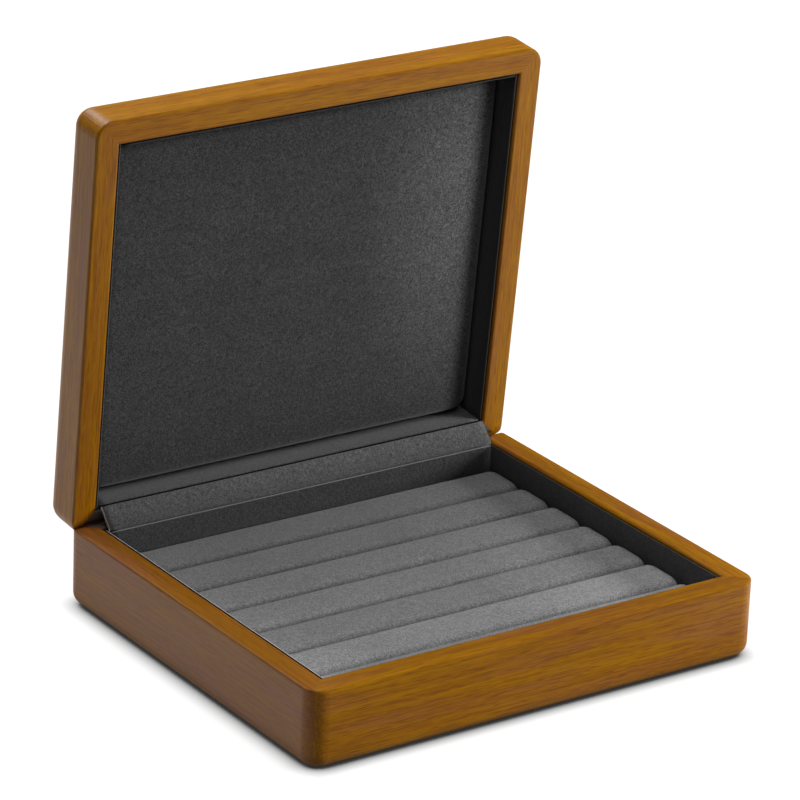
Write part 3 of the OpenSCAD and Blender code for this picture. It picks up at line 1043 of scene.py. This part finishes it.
@dataclass
class SuedeLiners:
    """Suede-covered card along the walls of the case and the lid."""

    sizes: BoxSizes
    # Some strips take a copy of the suede toned as painted shade, and some free edges a painted highlight.
    shade_of_liner: dict[str, SuedeFinish] = field(default_factory=lambda: {
        "case_back_liner": BACK_SUEDE, "case_right_liner": WALL_SUEDE, "lid_back_liner": STRIP_SUEDE,
        "lid_front_liner": SHADED_SUEDE, "lid_right_liner": SHADED_SUEDE})
    edges: dict[str, CardFinish] = field(default_factory=lambda: {
        "case_left_liner": BRIGHT_LIT_EDGE, "case_back_liner": HALF_LIT_EDGE, "lid_right_liner": DIM_LIT_EDGE})
    edge_round: float = 0.45 * MM
    behind: float = 0.35 * MM
    loose: dict[str, float] = field(default_factory=lambda: {"case_left_liner": 0.62 * MM})
    reach: dict[str, float] = field(default_factory=lambda: {
        "case_left_liner": 0.45 * MM, "lid_back_liner": -0.5 * MM})
    sag: float = 0.12 * MM
    sag_length: float = 12 * MM
    back_within: float = 0.02 * MM
    edge_within: tuple[float, float] = (0.4 * MM, 0.9 * MM)
    edge_steps: int = 6
    length_steps: int = 40

    def build(self) -> None:
        """Makes a strip for each liner node."""
        for half, body in (("case", Body.CASE), ("lid", Body.LID)):
            turn = self.sizes.opened() if body is Body.LID else Matrix.Identity(4)
            for side in ("front", "left", "right", "back"):
                self.strip(f"{half}_{side}_liner", side, body, turn)

    def strip(self, node: str, side: str, body: Body, turn: Matrix) -> None:
        """Makes one strip in its node's box.

        Args:
            node: The liner's node.
            side: The wall that it stands along.
            body: The body that carries it.
            turn: The turn from shut to rest.
        """
        low, high = box_before(node, turn)
        along, across = (0, 1) if side in ("front", "back") else (1, 0)
        inner, outer = high[across], low[across]
        if side in ("back", "right"):
            inner, outer = outer, inner
        outer += math.copysign(self.loose.get(node, self.behind), inner - outer)
        free, held = (low.z, high.z) if body is Body.LID else (high.z, low.z)
        free += math.copysign(1.0, free - held) * self.reach.get(node, 0.0)
        rings = []
        for step in range(self.length_steps + 1):
            place = low[along] + (high[along] - low[along]) * step / self.length_steps
            sag = self.sag * (1 + ripple(place, outer, 5.0, self.sag_length)) / 2
            outline = self.outline(inner, outer, free + math.copysign(sag, held - free), held)
            rings.append([(place, a, z) if along == 0 else (a, place, z) for a, z in outline])
        points, faces = skin(rings)
        # A strip's suede may be a toned copy as painted shade; its free edge may take a painted highlight,
        # and its face at the wood takes painted shade.
        suede = self.shade_of_liner.get(node, DARK_SUEDE)
        finishes = (suede, self.edges.get(node, suede), LINER_GAP_SHADE)
        piece = make_piece(f"suede_{node}", moved(points, turn), faces, map(material_of, finishes))
        self.mark_faces(piece, turn.inverted(), across, (free, inner, outer))
        seat(piece, body, "dark_suede", node)

    def outline(self, inner: float, outer: float, free: float, held: float) -> list[tuple[float, float]]:
        """Section of a strip whose free edge is rounded.

        Args:
            inner: The face that shows.
            outer: The face at the wood.
            free: Height of the free edge.
            held: Height of the edge that is out of sight.

        Returns:
            Points across and up.
        """
        half = abs(outer - inner) / 2
        radius = min(half, self.edge_round)
        side, rise = math.copysign(1, outer - inner), math.copysign(1, free - held)
        points = [(outer, held), (inner, held)]
        for centre, start in ((inner + side * radius, 180), (outer - side * radius, 90)):
            for step in range(self.edge_steps + 1):
                angle = math.radians(start - 90 * step / self.edge_steps)
                across = centre + side * radius * math.cos(angle)
                points.append((across, free + rise * radius * (math.sin(angle) - 1)))
        return points

    def mark_faces(self, piece: bpy.types.Object, back: Matrix, across: int,
                   places: tuple[float, float, float]) -> None:
        """Gives a strip's free edge its painted highlight, where it has one, and its face at the wood the
        painted shade of the gap behind it.

        Args:
            piece: The strip.
            back: The turn from rest to shut.
            across: The axis across the strip.
            places: Height of the free edge, and places of the strip's two faces, with the lid shut.
        """
        free, inner, outer = places
        down, wide = self.edge_within
        for face in piece.data.polygons:
            middle = back @ face.center
            if abs(middle[across] - outer) < self.back_within:
                face.material_index = 2
            elif abs(middle.z - free) < down and abs(middle[across] - inner) < wide:
                face.material_index = 1


@dataclass
class HingeCover:
    """The sprung suede strip that hides the hinges."""

    sizes: BoxSizes
    short: float = 0.35 * MM
    swell: float = 0.05 * MM
    swell_length: float = 14 * MM
    face_steps: int = 8
    edge_steps: int = 8
    length_steps: int = 60

    def build(self) -> None:
        """Makes the strip in its node's box."""
        leaning = self.sizes.leaning()
        high = box_before("hinge_cover", leaning)[1]
        rings = []
        for step in range(self.length_steps + 1):
            x = high.x * (2 * step / self.length_steps - 1)
            rings.append([(x, y, z) for y, z in self.outline(x, high.z - self.short)])
        points, faces = skin(rings)
        finishes = map(material_of, (COVER_SUEDE, BRIGHT_LIT_EDGE))
        piece = make_piece("suede_hinge_cover", moved(points, leaning), faces, finishes)
        # The strip's two end faces take the bright painted highlight.
        for end in piece.data.polygons[-2:]:
            end.material_index = 1
        seat(piece, Body.COVER, "dark_suede", "hinge_cover")

    def outline(self, x: float, top: float) -> list[tuple[float, float]]:
        """Section of the upright strip, with a slight swell of the suede.

        Args:
            x: Place along the strip.
            top: Height of its free edge.

        Returns:
            Points across and up.
        """
        radius = self.sizes.cover_thickness / 2
        fold_y, fold_z = self.sizes.fold_y, self.sizes.hinge_z
        tip = top - radius
        arc = [math.pi * step / self.edge_steps for step in range(self.edge_steps + 1)]
        shares = [step / self.face_steps for step in range(1, self.face_steps)]
        points = [(fold_y + radius * math.cos(turn), tip + radius * math.sin(turn)) for turn in arc]
        for share in shares:
            z = tip + (fold_z - tip) * share
            swell = self.swell * (1 + ripple(x, z, 9.0, self.swell_length))
            points.append((fold_y - radius + swell, z))
        points += [(fold_y - radius * math.cos(turn), fold_z - radius * math.sin(turn)) for turn in arc]
        points += [(fold_y + radius, fold_z + (tip - fold_z) * share) for share in shares]
        return points


@dataclass
class Fittings:
    """The felt, the boards and the metal parts, which keep the frame's shapes."""

    nodes: dict[str, bpy.types.Object]
    finishes: tuple[tuple[Finish, tuple[str, ...]], ...] = (
        (FELT, ("case_felt",)),
        (GREY_BOARD, ("roll_tray", "lid_pad_board")),
        (BRASS, ("case_hinge_leaves", "lid_hinge_leaves")),
        (STEEL, ("hinge_pins", "case_hinge_screws", "lid_hinge_screws", "cover_spring_plate")),
    )

    def dress(self) -> None:
        """Gives each of them its finish."""
        for finish, names in self.finishes:
            for name in names:
                dress_node(self.nodes[name], finish)


@dataclass(frozen=True)
class Lamp:
    """A large square lamp that looks at the box."""

    name: str
    azimuth: float
    elevation: float
    distance: float
    size: float
    power: float
    mirrored: bool = True


@dataclass(frozen=True)
class Card:
    """A white card that lies on the table."""

    name: str
    x: tuple[float, float]
    y: tuple[float, float]
    light: float


@dataclass(frozen=True)
class Studio:
    """A white table, soft lamps, even light from all round, and the camera."""

    lamps: tuple[Lamp, ...] = (
        Lamp("side", 57.0, 13.0, 1.5, 0.5, 22.0, mirrored=False),
        Lamp("top", 20.0, 76.0, 2.0, 1.4, 16.0),
        Lamp("back", 183.0, 45.0, 2.2, 0.8, 42.0),
        Lamp("left", -95.0, 8.0, 2.0, 1.0, 0.7),
    )
    floor_radius: float = 9.0
    camera_place: Point = (-1.01442, -1.43017, 0.81039)
    azimuth: float = -35.118
    elevation: float = 21.979
    roll: float = 2.3358
    focal_pixels: float = 4616.56
    frame_pixels: float = 800.0
    sensor: float = 36.0
    sky: float = 0.15
    table_bounce: float = 0.2
    table_shown: float = 0.16
    table_lift: float = 0.9
    contact_reach: Fade = Fade(0, -118 * MM, -104 * MM, 0.75)
    contact_size: float = 9 * MM
    contact_dark: float = 0.03
    contact_open: tuple[float, float] = (0.3, 0.96)
    contact_power: float = 0.62
    contact_samples: int = 16
    table_sides: int = 96
    lamp_aim: float = 0.08
    card_height: float = 0.5 * MM
    clip: tuple[float, float] = (0.05, 40.0)
    cards: tuple[Card, ...] = (
        Card("left", (-0.75, -0.115), (-0.1, 0.9), 2.3),
        Card("right", (0.14, 0.9), (-0.9, 0.0), 2.2),
    )

    def build(self) -> None:
        """Makes the table, the lights and the camera."""
        self.make_table()
        for card in self.cards:
            self.make_card(card)
        self.make_sky()
        for lamp in self.lamps:
            self.make_lamp(lamp)
        self.make_camera()
        bpy.context.scene.view_settings.view_transform = "Standard"

    @staticmethod
    def direction(azimuth: float, elevation: float) -> Vector:
        """The way from the box to a place round it.

        Args:
            azimuth: 0 in front and 90 to the right, in degrees.
            elevation: Above the table, in degrees.

        Returns:
            A unit vector.
        """
        a, e = math.radians(azimuth), math.radians(elevation)
        return Vector((math.sin(a) * math.cos(e), -math.cos(a) * math.cos(e), math.sin(e)))

    def make_table(self) -> None:
        """A wide round table, white where the camera sees it, with a painted contact shadow that darkens it
        close to what stands on it.
        """
        turns = [2 * math.pi * step / self.table_sides for step in range(self.table_sides)]
        radius = self.floor_radius
        rim = [(radius * math.cos(turn), radius * math.sin(turn), 0.0) for turn in turns]
        sheet = ShaderSheet("table")
        seen = sheet.add("LightPath")
        shown = sheet.calc("MAXIMUM", seen.outputs["Is Camera Ray"], seen.outputs["Is Glossy Ray"])
        plain, white = (sheet.add("BsdfDiffuse", (tone, tone, tone, 1.0)).outputs[0]
                        for tone in (self.table_bounce, self.table_shown))
        # Painted contact shadow: the white lift fades with ambient occlusion close to the box.
        near = sheet.add("AmbientOcclusion", samples=self.contact_samples)
        sheet.feed(near.inputs["Distance"], self.reach_of_contact(sheet))
        spread = sheet.fit(near.outputs["AO"], *self.contact_open, 0.0, 1.0)
        spread = sheet.calc("POWER", spread, self.contact_power)
        openness = sheet.fit(spread, 0.0, 1.0, self.contact_dark, 1.0)
        lift = sheet.add("Emission", None, sheet.calc("MULTIPLY", openness, self.table_lift))
        dimmed = sheet.add("MixShader", openness, None, white)
        both = sheet.add("AddShader", dimmed.outputs[0], lift.outputs[0])
        mix = sheet.add("MixShader", shown, plain, both.outputs[0])
        sheet.feed(sheet.output.inputs["Surface"], mix.outputs[0])
        make_piece("table", rim, [list(range(self.table_sides))], [sheet.material])

    def reach_of_contact(self, sheet: ShaderSheet) -> Socket:
        """How far from the box the table darkens: less in front, where more light falls, than on the left.

        Args:
            sheet: The table's nodes.

        Returns:
            The distance in metres.
        """
        less = self.contact_reach
        place = sheet.axes(sheet.place())[less.axis]
        share = sheet.fit(place, less.start, less.stop, 1.0, less.tone)
        return sheet.calc("MULTIPLY", share, self.contact_size)

    def make_card(self, card: Card) -> None:
        """Lays a white card on the table, which shows only in the box's gloss.

        Args:
            card: The card.
        """
        (left, right), (front, back) = card.x, card.y
        corners = [(x, y, self.card_height)
                   for x, y in ((left, front), (right, front), (right, back), (left, back))]
        sheet = ShaderSheet(f"{card.name}_card")
        bright = sheet.add("Emission", None, card.light)
        sheet.feed(sheet.output.inputs["Surface"], bright.outputs[0])
        piece = make_piece(f"{card.name}_card", corners, [[0, 1, 2, 3]], [sheet.material])
        piece.visible_camera = False
        piece.visible_diffuse = False
        piece.visible_shadow = False

    def make_sky(self) -> None:
        """Even light from all round, with pale grey behind the table's edge."""
        world = bpy.data.worlds.new("studio")
        bpy.context.scene.world = world
        world.use_nodes = True
        tree = world.node_tree
        tree.nodes.clear()
        kinds = ("OutputWorld", "MixShader", "LightPath", "Background", "Background")
        output, mix, path, soft, pale = (tree.nodes.new(f"ShaderNode{kind}") for kind in kinds)
        soft.inputs["Strength"].default_value = self.sky
        sources = (path.outputs["Is Camera Ray"], soft.outputs[0], pale.outputs[0])
        for source, socket in zip(sources, mix.inputs):
            tree.links.new(source, socket)
        tree.links.new(mix.outputs[0], output.inputs["Surface"])

    def make_lamp(self, lamp: Lamp) -> None:
        """Puts up one lamp.

        Args:
            lamp: The lamp.
        """
        light = bpy.data.lights.new(lamp.name, "AREA")
        light.shape = "SQUARE"
        light.size = lamp.size
        light.energy = lamp.power
        way = self.direction(lamp.azimuth, lamp.elevation)
        stand = bpy.data.objects.new(lamp.name, light)
        stand.location = Vector((0, 0, self.lamp_aim)) + way * lamp.distance
        stand.rotation_mode = "QUATERNION"
        stand.rotation_quaternion = (-way).to_track_quat("-Z", "Y")
        stand.visible_glossy = lamp.mirrored
        bpy.context.scene.collection.objects.link(stand)

    def make_camera(self) -> None:
        """The camera where the photograph was taken from."""
        view = bpy.data.cameras.new("camera")
        view.sensor_width = self.sensor
        view.lens = self.focal_pixels / self.frame_pixels * self.sensor
        view.clip_start, view.clip_end = self.clip
        back = self.direction(self.azimuth, self.elevation)
        right = (-back).cross(Vector((0, 0, 1))).normalized()
        up = right.cross(-back)
        turn = math.radians(self.roll)
        side = math.cos(turn) * right + math.sin(turn) * up
        top = -math.sin(turn) * right + math.cos(turn) * up
        camera = bpy.data.objects.new("camera", view)
        camera.matrix_world = Matrix((
            (side.x, top.x, back.x, self.camera_place[0]),
            (side.y, top.y, back.y, self.camera_place[1]),
            (side.z, top.z, back.z, self.camera_place[2]),
            (0, 0, 0, 1),
        ))
        bpy.context.scene.collection.objects.link(camera)
        bpy.context.scene.camera = camera


def main() -> None:
    """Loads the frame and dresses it."""
    logging.basicConfig(level=logging.INFO, format="%(message)s")
    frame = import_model()
    nodes = frame["nodes"]
    sizes = BoxSizes()
    Studio().build()
    WoodenShell(nodes, sizes).dress()
    RingRolls().build(sum(name.startswith("ring_roll_") for name in nodes))
    LidPad(sizes).build()
    SuedeLiners(sizes).build()
    HingeCover(sizes).build()
    Fittings(nodes).dress()


if __name__ == "__main__":
    main()
